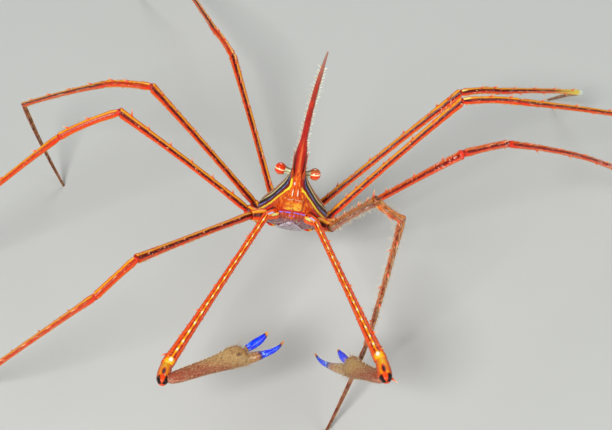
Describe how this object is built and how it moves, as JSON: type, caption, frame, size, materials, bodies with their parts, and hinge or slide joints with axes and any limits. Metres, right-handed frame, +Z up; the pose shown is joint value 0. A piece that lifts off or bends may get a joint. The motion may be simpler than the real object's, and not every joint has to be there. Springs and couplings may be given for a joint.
{
  "type": "yellowline arrow crab",
  "caption": "Life-size still model of an arrow crab: small tapered body with a long spear-like rostrum, long thin spiny legs, slender claws with blue fingers.",
  "frame": {"origin": "on the floor, under the middle of the crab's bounding box", "axes": "+Z up; the crab faces -Y, with its left side towards +X, the direction of its greatest span"},
  "size_m": [0.1344, 0.121, 0.0656],
  "materials": {
    "carapace_shell": "satin shell, orange with fine pale, dark and blue lines",
    "belly_shell": "thin satin shell, orange to greyish white",
    "rostrum_shell": "satin shell, deep red with pale edge spines",
    "leg_shell": "satin shell with lengthwise gold, maroon and orange bands",
    "cheliped_shell": "satin shell, orange red with a broken yellow line",
    "palm_shell": "finely hairy shell, speckled tan to olive brown",
    "finger_shell": "polished shell, ultramarine blue with orange tips",
    "eye_surface": "glossy, orange red with cream lines"
  },
  "bodies": {
    "root": {"carapace": "carapace_shell", "thorax": "belly_shell", "abdomen": "belly_shell", "rostrum": "rostrum_shell", "eye_left": "eye_surface", "eye_right": "eye_surface", "antenna_left": "carapace_shell", "antenna_right": "carapace_shell", "maxilliped_left": "belly_shell", "maxilliped_right": "belly_shell", "cheliped_left_hip": "cheliped_shell", "cheliped_left_merus": "cheliped_shell", "cheliped_left_carpus": "cheliped_shell", "cheliped_left_palm": "palm_shell", "cheliped_left_finger": "finger_shell", "cheliped_right_hip": "cheliped_shell", "cheliped_right_merus": "cheliped_shell", "cheliped_right_carpus": "cheliped_shell", "cheliped_right_palm": "palm_shell", "cheliped_right_finger": "finger_shell", "leg_left_1_hip": "leg_shell", "leg_left_1_merus": "leg_shell", "leg_left_1_carpus": "leg_shell", "leg_left_1_propodus": "leg_shell", "leg_left_1_dactyl": "leg_shell", "leg_left_2_hip": "leg_shell", "leg_left_2_merus": "leg_shell", "leg_left_2_carpus": "leg_shell", "leg_left_2_propodus": "leg_shell", "leg_left_2_dactyl": "leg_shell", "leg_left_3_hip": "leg_shell", "leg_left_3_merus": "leg_shell", "leg_left_3_carpus": "leg_shell", "leg_left_3_propodus": "leg_shell", "leg_left_3_dactyl": "leg_shell", "leg_left_4_hip": "leg_shell", "leg_left_4_merus": "leg_shell", "leg_left_4_carpus": "leg_shell", "leg_left_4_propodus": "leg_shell", "leg_left_4_dactyl": "leg_shell", "leg_right_1_hip": "leg_shell", "leg_right_1_merus": "leg_shell", "leg_right_1_carpus": "leg_shell", "leg_right_1_propodus": "leg_shell", "leg_right_1_dactyl": "leg_shell", "leg_right_2_hip": "leg_shell", "leg_right_2_merus": "leg_shell", "leg_right_2_carpus": "leg_shell", "leg_right_2_propodus": "leg_shell", "leg_right_2_dactyl": "leg_shell", "leg_right_3_hip": "leg_shell", "leg_right_3_merus": "leg_shell", "leg_right_3_carpus": "leg_shell", "leg_right_3_propodus": "leg_shell", "leg_right_3_dactyl": "leg_shell", "leg_right_4_hip": "leg_shell", "leg_right_4_merus": "leg_shell", "leg_right_4_carpus": "leg_shell", "leg_right_4_propodus": "leg_shell", "leg_right_4_dactyl": "leg_shell"}
  },
  "joints": []
}
